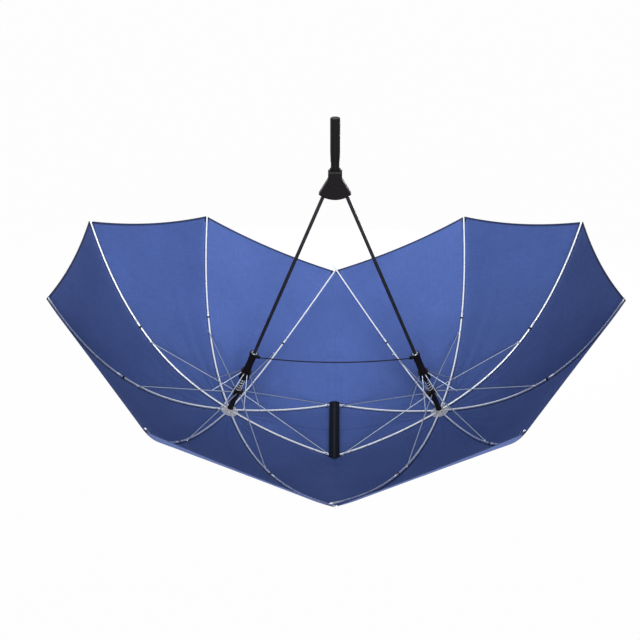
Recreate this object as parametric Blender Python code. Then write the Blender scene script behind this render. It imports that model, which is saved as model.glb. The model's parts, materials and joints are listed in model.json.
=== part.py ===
"""Two-person umbrella, held handle up and open: one grip, a Y connector, two leaning shafts and two
joined canopies. Metres, +Z up, the origin in the middle of the grip, +Y away from the viewer."""

import math

import bmesh
import bpy
from mathutils import Matrix, Vector

# Grip, collar and Y connector, from the top down
GRIP_LENGTH = 0.0955
GRIP_RADIUS = 0.0106
GRIP_FOOT_RADIUS = 0.0098
GRIP_EDGE = 0.0012
COLLAR_LENGTH = 0.0195
COLLAR_NECK_RADIUS = 0.0092
COLLAR_LIP_RADIUS = 0.0118
COLLAR_LIP_HEIGHT = 0.0045
FORK_TOP_HALF_WIDTH = 0.0150
FORK_BOTTOM_HALF_WIDTH = 0.0350
FORK_ABOVE_PINS = 0.0280
FORK_SHOULDER_DROP = 0.0170
FORK_BELOW_PINS = 0.0360
FORK_CORNER_DROP = 0.0235
FORK_THICKNESS = 0.0190
FORK_EDGE = 0.0022
PIN_HALF_SPREAD = 0.0130
PIN_RADIUS = 0.0016
PIN_HEAD_RADIUS = 0.0034
PIN_HEAD_HEIGHT = 0.0011

# The two shafts, which lean apart
SHAFT_LENGTH = 0.640
SHAFT_RADIUS = 0.0040
SHAFT_LEAN = math.radians(22.4)
SHAFT_FOLDED_LEAN = math.radians(1.5)
SHAFT_ABOVE_PIN = 0.0024

# Crown, which holds the ribs, and the ferrule under the cloth
CROWN_PIVOT_RADIUS = 0.0090
CROWN_HUB_RADIUS = 0.0118
CROWN_HUB_TOP = 0.0045
CROWN_SEAT = 0.0020
CROWN_DISC_RADIUS = 0.0225
CROWN_DISC_THICKNESS = 0.0014
CROWN_NECK_RADIUS = 0.0055
CROWN_NECK_DEPTH = 0.0058
CROWN_BORE_DEPTH = 0.0010
FERRULE_FLANGE_RADIUS = 0.0110
FERRULE_FLANGE_HEIGHT = 0.0022
FERRULE_NECK_RADIUS = 0.0052
FERRULE_TIP_RADIUS = 0.0034
FERRULE_LENGTH = 0.0320

# Sliding ring, spring and outer runner, measured up the shaft from the rib pivots
RING_PIVOT_HEIGHT = 0.0580
RING_PIVOT_RADIUS = 0.0105
RING_RADIUS = 0.0132
RING_HEIGHT = 0.0096
SPRING_WIRE_RADIUS = 0.00055
SPRING_RADIUS = 0.0064
SPRING_CURLS = 5
SPRING_POINTS_PER_CURL = 9
RUNNER_FOOT_HEIGHT = 0.1000
RUNNER_LENGTH = 0.0760
RUNNER_RADIUS = 0.0092
RUNNER_WAIST_RADIUS = 0.0084
RUNNER_COLLAR_RADIUS = 0.0128
RUNNER_COLLAR_HEIGHT = 0.0240
RUNNER_LIP_RADIUS = 0.0108
RUNNER_LIP_HEIGHT = 0.0060
LINK_PIVOT_HEIGHT = 0.1180
LINK_PIVOT_RADIUS = 0.0105
LUG_REACH = 0.0175
LUG_RADIUS = 0.0034
LUG_THICKNESS = 0.0044
LUG_BELOW_TOP = 0.0070

# Ribs, stretchers and links
RIB_COUNT = 8
SEAM_RIBS = (0, 5)
MIDDLE_RIBS = (1, 4)
SHORT_RIBS = (6, 7)
LINKED_RIBS = (0, 2, 4, 6)
SEAM_PANELS = (5, 6, 7)
RIB_SPACING = math.radians(45.0)
FIRST_RIB_ANGLE = math.radians(67.5)
SEAM_RIB_TURN = math.radians(2.3)
SEAM_RIB_STEP = math.radians(0.4)
SEAM_RIB_BOW = 0.018
RIB_RADIUS = 0.0015
RIB_WIRE_RADIUS = 0.0011
RIB_TIP_RADIUS = 0.0019
RIB_TIP_LENGTH = 0.0060
SLEEVE_RADIUS = 0.0020
SLEEVE_START = 0.2940
SLEEVE_LENGTH = 0.0120
JOINT_REACH = 0.2520
JOINT_RISE = 0.0500
SEAM_TIP_REACH = 0.5340
SEAM_TIP_RISE = 0.2220
MIDDLE_TIP_REACH = 0.5300
MIDDLE_TIP_RISE = 0.2470
OUTER_TIP_REACH = 0.5100
OUTER_TIP_RISE = 0.2630
SHORT_REACH = 0.2675
SHORT_RISE = 0.0400
SHORT_JOINT_SETBACK = 0.0055
STRETCHER_RADIUS = 0.0013
STRETCHER_OVERHANG = 0.0018
LINK_REACH = 0.0540
LINK_RADIUS = 0.0012
LINK_OVERHANG = 0.0030
SIDE_GAP = 0.0005

# Cloth, centre strap and the cord that joins the runners
CLOTH_THICKNESS = 0.0008
CLOTH_DROP = 0.0044
CLOTH_CENTRE_DROP = 0.0049
CLOTH_CENTRE_REACH = 0.0450
CLOTH_HOLE_RADIUS = 0.0072
CLOTH_SLOPE_STEP = 0.0010
CLOTH_ROWS = 11
CLOTH_STEPS_PER_PANEL = 4
RIM_SCALLOP_SHARE = 0.055
SEAM_GAP = 0.0009
STRAP_THICKNESS = 0.0030
STRAP_TURN_UP = 0.0090
CORD_RADIUS = 0.0011
CORD_SAG = 0.0120
CORD_POINTS = 61

# Fits and rounding
GAP = 0.0003
SLOT_PLAY = 0.0004
SHAFT_PLAY = 0.00045
OVERRUN = 0.0020
SHARP_ANGLE = math.radians(35.0)
ROUND_STEPS = 32
SMALL_STEPS = 16
ROD_SIDES = 6
RIB_POINTS = 12

GRIP_HALF = GRIP_LENGTH / 2
COLLAR_TOP = -GRIP_HALF - GAP
PIN_LEVEL = COLLAR_TOP - COLLAR_LENGTH - GAP - FORK_ABOVE_PINS
CROWN_OFFSET = PIN_HALF_SPREAD + SHAFT_LENGTH * math.sin(SHAFT_LEAN)
CROWN_LEVEL = PIN_LEVEL - SHAFT_LENGTH * math.cos(SHAFT_LEAN)
BORE_RADIUS = SHAFT_RADIUS + SHAFT_PLAY
RUNNER_TOP = RUNNER_FOOT_HEIGHT + RUNNER_LENGTH
STRETCHER_SIDE = RIB_RADIUS + STRETCHER_RADIUS + SIDE_GAP
SIDES = {"left": 1, "right": -1}


def clear_scene():
    for item in list(bpy.data.objects):
        bpy.data.objects.remove(item, do_unlink=True)


def material(name, colour, roughness, metallic=0.0):
    made = bpy.data.materials.new(name)
    made.use_nodes = True
    shader = made.node_tree.nodes["Principled BSDF"]
    shader.inputs["Base Color"].default_value = (*colour, 1.0)
    shader.inputs["Roughness"].default_value = roughness
    shader.inputs["Metallic"].default_value = metallic
    return made


def empty(name, parent=None, location=(0, 0, 0), rotation=(0, 0, 0)):
    made = bpy.data.objects.new(name, None)
    bpy.context.scene.collection.objects.link(made)
    made.parent = parent
    made.location = location
    made.rotation_euler = rotation
    return made


def add_object(name, data, look=None, parent=None, location=(0, 0, 0), rotation=(0, 0, 0)):
    made = bpy.data.objects.new(name, data)
    bpy.context.scene.collection.objects.link(made)
    if look:
        data.materials.append(look)
    made.parent = parent
    made.location = location
    made.rotation_euler = rotation
    return made


def finished_mesh(name, bm):
    bmesh.ops.recalc_face_normals(bm, faces=bm.faces)
    mesh = bpy.data.meshes.new(name)
    bm.to_mesh(mesh)
    bm.free()
    mesh.shade_smooth()
    mesh.set_sharp_from_angle(angle=SHARP_ANGLE)
    return mesh


def turned_mesh(name, outline, steps=ROUND_STEPS, closed=False):
    """A profile of (radius, height) points spun about Z. A closed profile stays off the axis and makes
    a ring; an open one starts and ends on the axis."""
    bm = bmesh.new()
    rings = []
    for radius, height in outline:
        if radius == 0:
            rings.append([bm.verts.new((0, 0, height))])
            continue
        turns = [math.tau * step / steps for step in range(steps)]
        rings.append([bm.verts.new((radius * math.cos(a), radius * math.sin(a), height)) for a in turns])
    pairs = list(zip(rings, rings[1:]))
    if closed:
        pairs.append((rings[-1], rings[0]))
    for lower, upper in pairs:
        for step in range(steps):
            after = (step + 1) % steps
            if len(lower) == 1:
                bm.faces.new((lower[0], upper[after], upper[step]))
            elif len(upper) == 1:
                bm.faces.new((lower[step], lower[after], upper[0]))
            else:
                bm.faces.new((lower[step], lower[after], upper[after], upper[step]))
    return finished_mesh(name, bm)


def rod_mesh(name, points, radii):
    """A rod along (x, z) points in one upright plane, with its own radius at each point."""
    bm = bmesh.new()
    rings = []
    for index, (x, z) in enumerate(points):
        before = Vector(points[max(index - 1, 0)])
        after = Vector(points[min(index + 1, len(points) - 1)])
        along = (after - before).normalized()
        normal = Vector((-along.y, 0, along.x))
        centre = Vector((x, 0, z))
        ring = []
        for corner in range(ROD_SIDES):
            turn = math.tau * (corner + 1 / 2) / ROD_SIDES
            offset = normal * math.cos(turn) + Vector((0, 1, 0)) * math.sin(turn)
            ring.append(bm.verts.new(centre + offset * radii[index]))
        rings.append(ring)
    for lower, upper in zip(rings, rings[1:]):
        for corner in range(ROD_SIDES):
            after = (corner + 1) % ROD_SIDES
            bm.faces.new((lower[corner], lower[after], upper[after], upper[corner]))
    bm.faces.new(rings[0])
    bm.faces.new(rings[-1])
    return finished_mesh(name, bm)


def prism_mesh(name, outline, thickness, edge=0.0, upright=True):
    """An outline pushed out to both sides of its plane: XZ when upright, XY when flat."""
    bm = bmesh.new()
    half = thickness / 2
    if upright:
        corners = [bm.verts.new((x, -half, z)) for x, z in outline]
        push = Vector((0, thickness, 0))
    else:
        corners = [bm.verts.new((x, y, -half)) for x, y in outline]
        push = Vector((0, 0, thickness))
    face = bm.faces.new(corners)
    pushed = bmesh.ops.extrude_face_region(bm, geom=[face])["geom"]
    bmesh.ops.translate(bm, vec=push, verts=[item for item in pushed if isinstance(item, bmesh.types.BMVert)])
    if edge:
        axis = push.normalized()
        rims = [item for item in bm.edges if abs((item.verts[0].co - item.verts[1].co).dot(axis)) < half]
        bmesh.ops.bevel(bm, geom=rims, offset=edge, segments=2, profile=0.5, affect="EDGES")
    return finished_mesh(name, bm)


def arc(centre, radius, start, end, steps):
    """Points on an arc, both ends included, with angles in radians from +X."""
    turns = [start + (end - start) * step / steps for step in range(steps + 1)]
    return [(centre[0] + radius * math.cos(a), centre[1] + radius * math.sin(a)) for a in turns]


def combine(target, name, mesh, operation, parent=None, location=(0, 0, 0), rotation=(0, 0, 0)):
    """Join a guide solid to a piece, or cut it away. The guide itself isn't part of the umbrella."""
    guide = add_object(name, mesh, parent=parent, location=location, rotation=rotation)
    guide.hide_render = True
    guide.display_type = "WIRE"
    change = target.modifiers.new(name, "BOOLEAN")
    change.operation = operation
    change.object = guide
    change.solver = "EXACT"


def slots_mesh(name, angles, side, width, inner, outer, bottom, top):
    """Radial slot cutters, one block for each angle, set off sideways by side."""
    bm = bmesh.new()
    for angle in angles:
        size = Matrix.Diagonal((outer - inner, width, top - bottom, 1))
        place = Matrix.Translation(((inner + outer) / 2, side, (bottom + top) / 2))
        bmesh.ops.create_cube(bm, size=1.0, matrix=Matrix.Rotation(angle, 4, "Z") @ place @ size)
    return finished_mesh(name, bm)


def grip(looks):
    top = GRIP_HALF
    outline = [(0, -top), (GRIP_FOOT_RADIUS, -top), (GRIP_RADIUS, -top / 2), (GRIP_RADIUS, top - GRIP_EDGE)]
    outline += [(GRIP_RADIUS - GRIP_EDGE, top), (0, top)]
    add_object("handle_grip", turned_mesh("handle_grip", outline), looks["black"])


def collar(looks):
    foot = -COLLAR_LENGTH
    lip = foot + COLLAR_LIP_HEIGHT
    outline = [(0, foot), (COLLAR_LIP_RADIUS, foot), (COLLAR_LIP_RADIUS, lip), (COLLAR_NECK_RADIUS, lip)]
    outline += [(COLLAR_NECK_RADIUS, 0), (0, 0)]
    mesh = turned_mesh("handle_collar", outline)
    add_object("handle_collar", mesh, looks["dark"], location=(0, 0, COLLAR_TOP))


def fork_outline():
    """Fan-shaped front view: straight neck, flaring shoulders and a bowed foot."""
    corner = Vector((FORK_BOTTOM_HALF_WIDTH, -FORK_CORNER_DROP))
    foot = Vector((0, -FORK_BELOW_PINS))
    rise = corner.y - foot.y
    radius = (corner.x**2 + rise**2) / (2 * rise)
    centre = (0, foot.y + radius)
    spread = math.asin(corner.x / radius)
    down = -math.pi / 2
    bowed = arc(centre, radius, down - spread, down + spread, SMALL_STEPS)
    shoulder = FORK_ABOVE_PINS - FORK_SHOULDER_DROP
    right = [(FORK_TOP_HALF_WIDTH, shoulder), (FORK_TOP_HALF_WIDTH, FORK_ABOVE_PINS)]
    left = [(-x, z) for x, z in reversed(right)]
    return bowed + right + left


def swing_outline():
    """The slot that a shaft swings in, from its open lean to the folded one, about its pin."""
    top = math.hypot(SHAFT_RADIUS, SHAFT_ABOVE_PIN) + SHAFT_PLAY
    reach = FORK_BELOW_PINS + FORK_BOTTOM_HALF_WIDTH
    outline = arc((0, 0), top, math.pi - SHAFT_LEAN, 0, SMALL_STEPS)[::-1]
    far = []
    for lean, out in ((SHAFT_LEAN, -1), (SHAFT_FOLDED_LEAN, 1)):
        along = Vector((-math.sin(lean), -math.cos(lean)))
        across = Vector((math.cos(lean), -math.sin(lean))) * out * BORE_RADIUS
        far.append((across, along * reach + across))
    (open_near, open_far), (folded_near, folded_far) = far
    outline += [tuple(open_near), tuple(open_far), tuple(folded_far), tuple(folded_near)]
    return outline


def fork(looks):
    """Y connector with a swing slot and a pin for each shaft, and pin heads on both faces."""
    body = prism_mesh("y_connector", fork_outline(), FORK_THICKNESS, FORK_EDGE)
    made = add_object("y_connector", body, looks["black"], location=(0, 0, PIN_LEVEL))
    for side, sign in SIDES.items():
        outline = [(sign * x, z) for x, z in swing_outline()]
        slot = prism_mesh(f"{side}_swing_slot", outline, 2 * BORE_RADIUS)
        combine(made, f"{side}_swing_slot", slot, "DIFFERENCE", made, (-sign * PIN_HALF_SPREAD, 0, 0))
        half = FORK_THICKNESS / 2
        head = half + PIN_HEAD_HEIGHT
        inside = half - (half - BORE_RADIUS) / 2
        outline = [(0, -head), (PIN_HEAD_RADIUS, -head), (PIN_HEAD_RADIUS, -inside), (PIN_RADIUS, -inside)]
        outline += [(radius, -height) for radius, height in reversed(outline)]
        pin = turned_mesh(f"{side}_pin", outline, SMALL_STEPS)
        place = (-sign * PIN_HALF_SPREAD, 0, 0)
        combine(made, f"{side}_pin", pin, "UNION", made, place, (math.pi / 2, 0, 0))


def shaft(side, frame, looks):
    top = SHAFT_LENGTH + SHAFT_ABOVE_PIN
    outline = [(0, 0), (SHAFT_RADIUS, 0), (SHAFT_RADIUS, top), (0, top)]
    made = add_object(f"shaft_{side}", turned_mesh(f"shaft_{side}", outline), looks["dark"], frame)
    reach = SHAFT_RADIUS + OVERRUN
    hole = turned_mesh(
        f"{side}_pin_hole",
        [(0, -reach), (PIN_RADIUS + GAP, -reach), (PIN_RADIUS + GAP, reach), (0, reach)],
        SMALL_STEPS,
    )
    combine(made, f"{side}_pin_hole", hole, "DIFFERENCE", frame, (0, 0, SHAFT_LENGTH), (math.pi / 2, 0, 0))


def crown(side, frame, angles, looks):
    """Slotted hub on a thin disc. The ribs hinge in its slots, and its neck passes the cloth."""
    disc = -CROWN_SEAT - CROWN_DISC_THICKNESS
    outline = [(0, -CROWN_NECK_DEPTH), (CROWN_NECK_RADIUS, -CROWN_NECK_DEPTH), (CROWN_NECK_RADIUS, disc)]
    outline += [(CROWN_DISC_RADIUS, disc), (CROWN_DISC_RADIUS, -CROWN_SEAT)]
    outline += [(CROWN_HUB_RADIUS, -CROWN_SEAT), (CROWN_HUB_RADIUS, CROWN_HUB_TOP)]
    outline += [(BORE_RADIUS, CROWN_HUB_TOP), (BORE_RADIUS, -CROWN_BORE_DEPTH), (0, -CROWN_BORE_DEPTH)]
    made = add_object(f"crown_{side}", turned_mesh(f"crown_{side}", outline), looks["white"], frame)
    inner = CROWN_PIVOT_RADIUS - RIB_RADIUS - SLOT_PLAY
    width = 2 * (RIB_RADIUS + SLOT_PLAY)
    outer = CROWN_HUB_RADIUS + OVERRUN
    bottom = -RIB_RADIUS - SLOT_PLAY
    slots = slots_mesh(f"{side}_crown_slots", angles, 0, width, inner, outer, bottom, CROWN_HUB_TOP + OVERRUN)
    combine(made, f"{side}_crown_slots", slots, "DIFFERENCE", frame)


def ferrule(side, frame, looks):
    top = -CROWN_NECK_DEPTH - GAP
    flange = top - FERRULE_FLANGE_HEIGHT
    outline = [(0, top - FERRULE_LENGTH), (FERRULE_TIP_RADIUS, top - FERRULE_LENGTH)]
    outline += [(FERRULE_NECK_RADIUS, flange), (FERRULE_FLANGE_RADIUS, flange), (FERRULE_FLANGE_RADIUS, top)]
    outline += [(0, top)]
    add_object(f"ferrule_{side}", turned_mesh(f"ferrule_{side}", outline), looks["black"], frame)


def ring(side, frame, angles, looks):
    """Slotted ring that slides on the shaft and carries the stretchers."""
    half = RING_HEIGHT / 2
    outline = [(BORE_RADIUS, -half), (RING_RADIUS, -half), (RING_RADIUS, half), (BORE_RADIUS, half)]
    mesh = turned_mesh(f"ring_{side}", outline, closed=True)
    made = add_object(f"ring_{side}", mesh, looks["black"], frame, (0, 0, RING_PIVOT_HEIGHT))
    inner = RING_PIVOT_RADIUS - STRETCHER_RADIUS - SLOT_PLAY
    width = 2 * (STRETCHER_RADIUS + SLOT_PLAY)
    reach = half + OVERRUN
    outer = RING_RADIUS + OVERRUN
    slots = slots_mesh(f"{side}_ring_slots", angles, STRETCHER_SIDE, width, inner, outer, -reach, reach)
    combine(made, f"{side}_ring_slots", slots, "DIFFERENCE", made)


def spring_points(length):
    """Centre line of the spring: even curls between two turns that close up at the seats."""
    steps = SPRING_CURLS * SPRING_POINTS_PER_CURL
    points = []
    for step in range(steps + 1):
        share = step / steps
        turn = math.tau * SPRING_CURLS * share
        height = SPRING_WIRE_RADIUS + (length - 2 * SPRING_WIRE_RADIUS) * share
        points.append(Vector((SPRING_RADIUS * math.cos(turn), SPRING_RADIUS * math.sin(turn), height)))
    return points


def least_self_gap(points, radius):
    """Least gap between turns of a coil, from points at least half a turn apart."""
    apart = SPRING_POINTS_PER_CURL // 2
    gaps = []
    for index, point in enumerate(points):
        gaps += [(point - other).length - 2 * radius for other in points[index + apart:]]
    return min(gaps)


def curve_tube(name, points, radius, resolution, look, parent=None, location=(0, 0, 0)):
    curve = bpy.data.curves.new(name, "CURVE")
    curve.dimensions = "3D"
    curve.bevel_depth = radius
    curve.bevel_resolution = resolution
    curve.use_fill_caps = True
    spline = curve.splines.new("POLY")
    spline.points.add(len(points) - 1)
    for target, point in zip(spline.points, points):
        target.co = (*point, 1)
    return add_object(name, curve, look, parent, location)


def spring(side, frame, looks):
    foot = RING_PIVOT_HEIGHT + RING_HEIGHT / 2 + GAP
    length = RUNNER_FOOT_HEIGHT - GAP - foot
    points = spring_points(length)
    print(f"spring_{side} least gap to itself {least_self_gap(points, SPRING_WIRE_RADIUS) * 1000:.2f} mm")
    curve_tube(f"spring_{side}", points, SPRING_WIRE_RADIUS, 1, looks["steel"], frame, (0, 0, foot))


def runner(side, frame, angles, looks):
    """Outer runner: slotted collar for the links, waisted barrel, lipped mouth and an eye for the cord."""
    collar_top = RUNNER_COLLAR_HEIGHT
    lip_foot = RUNNER_LENGTH - RUNNER_LIP_HEIGHT
    waist = (collar_top + lip_foot) / 2
    outline = [(BORE_RADIUS, 0), (RUNNER_COLLAR_RADIUS, 0), (RUNNER_COLLAR_RADIUS, collar_top)]
    outline += [(RUNNER_RADIUS, collar_top), (RUNNER_WAIST_RADIUS, waist), (RUNNER_RADIUS, lip_foot)]
    outline += [(RUNNER_LIP_RADIUS, lip_foot), (RUNNER_LIP_RADIUS, RUNNER_LENGTH), (BORE_RADIUS, RUNNER_LENGTH)]
    mesh = turned_mesh(f"runner_{side}", outline, closed=True)
    made = add_object(f"runner_{side}", mesh, looks["black"], frame, (0, 0, RUNNER_FOOT_HEIGHT))
    inner = LINK_PIVOT_RADIUS - LINK_RADIUS - SLOT_PLAY
    width = 2 * (LINK_RADIUS + SLOT_PLAY)
    top = LINK_PIVOT_HEIGHT - RUNNER_FOOT_HEIGHT + LINK_RADIUS + SLOT_PLAY
    outer = RUNNER_COLLAR_RADIUS + OVERRUN
    slots = slots_mesh(f"{side}_link_slots", angles, 0, width, inner, outer, -OVERRUN, top)
    combine(made, f"{side}_link_slots", slots, "DIFFERENCE", made)
    root = (BORE_RADIUS + RUNNER_WAIST_RADIUS) / 2
    half = LUG_RADIUS
    outline = [(root, -half)] + arc((LUG_REACH - half, 0), half, -math.pi / 2, math.pi / 2, SMALL_STEPS // 2)
    outline += [(root, half)]
    place = (0, 0, RUNNER_LENGTH - LUG_BELOW_TOP)
    lug = prism_mesh(f"{side}_cord_lug", outline, LUG_THICKNESS)
    combine(made, f"{side}_cord_lug", lug, "UNION", made, place)


def rib_angle(side, index):
    """Angle of a rib about its shaft. The first rib and the sixth end at the seam between the canopies,
    turned a little towards it so that the two that meet there pass each other."""
    angle = FIRST_RIB_ANGLE + RIB_SPACING * index
    turn = SEAM_RIB_TURN + (SEAM_RIB_STEP if side == "right" else 0)
    if index in SEAM_RIBS:
        angle += turn if index == SEAM_RIBS[0] else -turn
    return SIDES[side] * angle


def rib_form(side, index):
    """Reach and rise of a rib's tip, and the reach and rise of its joint with the stretcher. Where two
    ribs meet at the seam, the one on the right is bowed a little more, so that they fold past each other."""
    if index in SHORT_RIBS:
        joint = SHORT_REACH - SHORT_JOINT_SETBACK
        return SHORT_REACH, SHORT_RISE, joint, SHORT_RISE * (joint / SHORT_REACH) ** 2
    if index in SEAM_RIBS:
        bow = 1 - SIDES[side] * SEAM_RIB_BOW
        return SEAM_TIP_REACH, SEAM_TIP_RISE * bow, JOINT_REACH, JOINT_RISE * bow
    if index in MIDDLE_RIBS:
        return MIDDLE_TIP_REACH, MIDDLE_TIP_RISE, JOINT_REACH, JOINT_RISE
    return OUTER_TIP_REACH, OUTER_TIP_RISE, JOINT_REACH, JOINT_RISE


def rib_rise(side, index, reach):
    """Height of a rib over its pivot at a distance from the shaft: a bow that steepens outwards."""
    tip_reach, tip_rise, joint_reach, joint_rise = rib_form(side, index)
    power = math.log(tip_rise / joint_rise) / math.log(tip_reach / joint_reach)
    return joint_rise * (reach / joint_reach) ** power


def rib_mesh(name, side, index):
    """A rib from its pivot out: a stiff inner arm, a sleeve, a thin bowed wire and a rounded tip."""
    tip = rib_form(side, index)[0]
    steps = [step / RIB_POINTS for step in range(RIB_POINTS + 1)]
    stations = [CROWN_PIVOT_RADIUS + (tip - CROWN_PIVOT_RADIUS) * share for share in steps]
    sleeve_end = SLEEVE_START + SLEEVE_LENGTH
    marks = []
    if tip > sleeve_end:
        stations = [x for x in stations if abs(x - SLEEVE_START) > SLEEVE_LENGTH and x < tip - RIB_TIP_LENGTH]
        marks = [
            (SLEEVE_START, RIB_RADIUS),
            (SLEEVE_START + GAP, SLEEVE_RADIUS),
            (sleeve_end, SLEEVE_RADIUS),
            (sleeve_end + GAP, RIB_WIRE_RADIUS),
            (tip - RIB_TIP_LENGTH, RIB_WIRE_RADIUS),
            (tip - RIB_TIP_LENGTH + GAP, RIB_TIP_RADIUS),
            (tip, RIB_TIP_RADIUS),
        ]
    for x in stations:
        marks.append((x, RIB_RADIUS if x < SLEEVE_START else RIB_WIRE_RADIUS))
    marks.sort()
    start = rib_rise(side, index, CROWN_PIVOT_RADIUS)
    points = [(x - CROWN_PIVOT_RADIUS, rib_rise(side, index, x) - start) for x, radius in marks]
    return rod_mesh(name, points, [radius for x, radius in marks])


def rib(side, index, frame, looks):
    name = f"rib_{side}_{index + 1}"
    angle = rib_angle(side, index)
    place = (CROWN_PIVOT_RADIUS * math.cos(angle), CROWN_PIVOT_RADIUS * math.sin(angle), 0)
    add_object(name, rib_mesh(name, side, index), looks["steel"], frame, place, (0, 0, angle))


def straight_rod(name, start, end, overhang, radius):
    """A straight rod in its own frame, from the pivot at start to a little past end."""
    run = Vector(end) - Vector(start)
    reach = run * (1 + overhang / run.length)
    return rod_mesh(name, [(0, 0), tuple(run / 2), tuple(reach)], [radius] * 3)


def hinge_place(angle, radius, side, height):
    """A point at a radius and height, set off sideways from the upright plane at that angle."""
    turn = Matrix.Rotation(angle, 3, "Z")
    return turn @ Vector((radius, side, height))


def stretcher(side, index, frame, looks):
    name = f"stretcher_{side}_{index + 1}"
    angle = rib_angle(side, index)
    joint = rib_form(side, index)[2:]
    mesh = straight_rod(name, (RING_PIVOT_RADIUS, RING_PIVOT_HEIGHT), joint, STRETCHER_OVERHANG, STRETCHER_RADIUS)
    place = hinge_place(angle, RING_PIVOT_RADIUS, STRETCHER_SIDE, RING_PIVOT_HEIGHT)
    add_object(name, mesh, looks["steel"], frame, place, (0, 0, angle))


def link(side, index, frame, looks):
    """Short link from the outer runner to a point on the stretcher."""
    name = f"link_{side}_{index + 1}"
    angle = rib_angle(side, index)
    ring_pivot = Vector((RING_PIVOT_RADIUS, RING_PIVOT_HEIGHT))
    along = (Vector(rib_form(side, index)[2:]) - ring_pivot).normalized()
    end = ring_pivot + along * LINK_REACH
    mesh = straight_rod(name, (LINK_PIVOT_RADIUS, LINK_PIVOT_HEIGHT), end, LINK_OVERHANG, LINK_RADIUS)
    place = hinge_place(angle, LINK_PIVOT_RADIUS, 0, LINK_PIVOT_HEIGHT)
    add_object(name, mesh, looks["steel"], frame, place, (0, 0, angle))


def cloth_on_rib(side, index, share):
    """Middle of the cloth under a rib, at a share of the way from the centre hole to the rib's tip."""
    tip = rib_form(side, index)[0]
    reach = CLOTH_HOLE_RADIUS + (tip - CLOTH_HOLE_RADIUS) * share
    step = CLOTH_SLOPE_STEP
    slope = (rib_rise(side, index, reach + step) - rib_rise(side, index, reach - step)) / (2 * step)
    normal = Vector((-slope, 1)).normalized()
    centre = max(0.0, 1 - reach / CLOTH_CENTRE_REACH)
    drop = CLOTH_DROP + (CLOTH_CENTRE_DROP - CLOTH_DROP) * centre
    spot = Vector((reach, rib_rise(side, index, reach))) - normal * drop
    angle = rib_angle(side, index)
    return Vector((spot.x * math.cos(angle), spot.x * math.sin(angle), spot.y))


def seam_reach(height):
    """How far inward the cloth may go at a height, in the leaning frame, before it meets the seam."""
    return (CROWN_OFFSET - SEAM_GAP - height * math.sin(SHAFT_LEAN)) / math.cos(SHAFT_LEAN)


def cloth(side, frame, looks):
    """One canopy: a panel between each pair of ribs, scalloped at the free rim and cut at the seam."""
    bm = bmesh.new()
    columns = []
    for index in range(RIB_COUNT):
        after = (index + 1) % RIB_COUNT
        seam_panel = index in SEAM_PANELS
        for step in range(CLOTH_STEPS_PER_PANEL):
            across = step / CLOTH_STEPS_PER_PANEL
            pull = 0 if seam_panel else RIM_SCALLOP_SHARE * 4 * across * (1 - across)
            column = []
            for row in range(CLOTH_ROWS + 1):
                share = row / CLOTH_ROWS * (1 - pull * (row / CLOTH_ROWS) ** 2)
                here = cloth_on_rib(side, index, share)
                there = cloth_on_rib(side, after, share)
                spot = here.lerp(there, across)
                if row == 0:
                    spot *= CLOTH_HOLE_RADIUS / math.hypot(spot.x, spot.y)
                    spot.z = here.z
                limit = seam_reach(spot.z)
                on_seam = row == CLOTH_ROWS and (seam_panel or (index, step) == (0, 0))
                spot.x = limit if on_seam else min(spot.x, limit)
                column.append(bm.verts.new(spot))
            columns.append(column)
    for index, column in enumerate(columns):
        beside = columns[(index + 1) % len(columns)]
        for row in range(CLOTH_ROWS):
            bm.faces.new((column[row], beside[row], beside[row + 1], column[row + 1]))
    name = f"canopy_{side}"
    made = add_object(name, finished_mesh(name, bm), looks["navy"], frame)
    thick = made.modifiers.new("cloth thickness", "SOLIDIFY")
    thick.thickness = CLOTH_THICKNESS
    thick.offset = 0


def strap(looks):
    """Sewn centre strap over the seam, between the ends of the short ribs. Its ends follow the cloth up."""
    turn = FIRST_RIB_ANGLE + 7 * RIB_SPACING
    inward = SHORT_REACH * math.cos(turn)
    rib_end = CROWN_LEVEL + SHORT_RISE * math.cos(SHAFT_LEAN) - inward * math.sin(SHAFT_LEAN)
    rib_gap = CROWN_OFFSET - inward * math.cos(SHAFT_LEAN) - SHORT_RISE * math.sin(SHAFT_LEAN)
    foot = CLOTH_THICKNESS / 2 + 2 * GAP - CLOTH_DROP * math.cos(SHAFT_LEAN)
    bend = SHORT_REACH * math.sin(turn)
    tip_turn = FIRST_RIB_ANGLE + SEAM_RIB_TURN
    tip_inward = SEAM_TIP_REACH * math.cos(tip_turn)
    tip_level = CROWN_LEVEL + SEAM_TIP_RISE * math.cos(SHAFT_LEAN) - tip_inward * math.sin(SHAFT_LEAN)
    slope = (tip_level - rib_end) / (SEAM_TIP_REACH * math.sin(tip_turn) - bend)
    end = bend + STRAP_TURN_UP
    rise = foot + STRAP_TURN_UP * slope
    right = [(bend, foot), (end, rise), (end, rise + STRAP_THICKNESS), (bend, foot + STRAP_THICKNESS)]
    left = [(-y, z) for y, z in reversed(right)]
    mesh = prism_mesh("centre_strap", right + left, 2 * (rib_gap - RIB_RADIUS / 2))
    add_object("centre_strap", mesh, looks["black"], None, (0, 0, rib_end), (0, 0, math.pi / 2))


def link_cord(looks):
    """Slack cord between the eyes of the two runners."""
    lean = Matrix.Rotation(SHAFT_LEAN, 3, "Y")
    eye = Vector((LUG_REACH + GAP, 0, RUNNER_TOP - LUG_BELOW_TOP))
    start = Vector((-CROWN_OFFSET, 0, CROWN_LEVEL)) + lean @ eye
    points = []
    for step in range(CORD_POINTS):
        across = 2 * step / (CORD_POINTS - 1) - 1
        points.append((-across * start.x, 0, start.z - CORD_SAG * (1 - across**2)))
    curve_tube("link_cord", points, CORD_RADIUS, 2, looks["black"])


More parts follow.
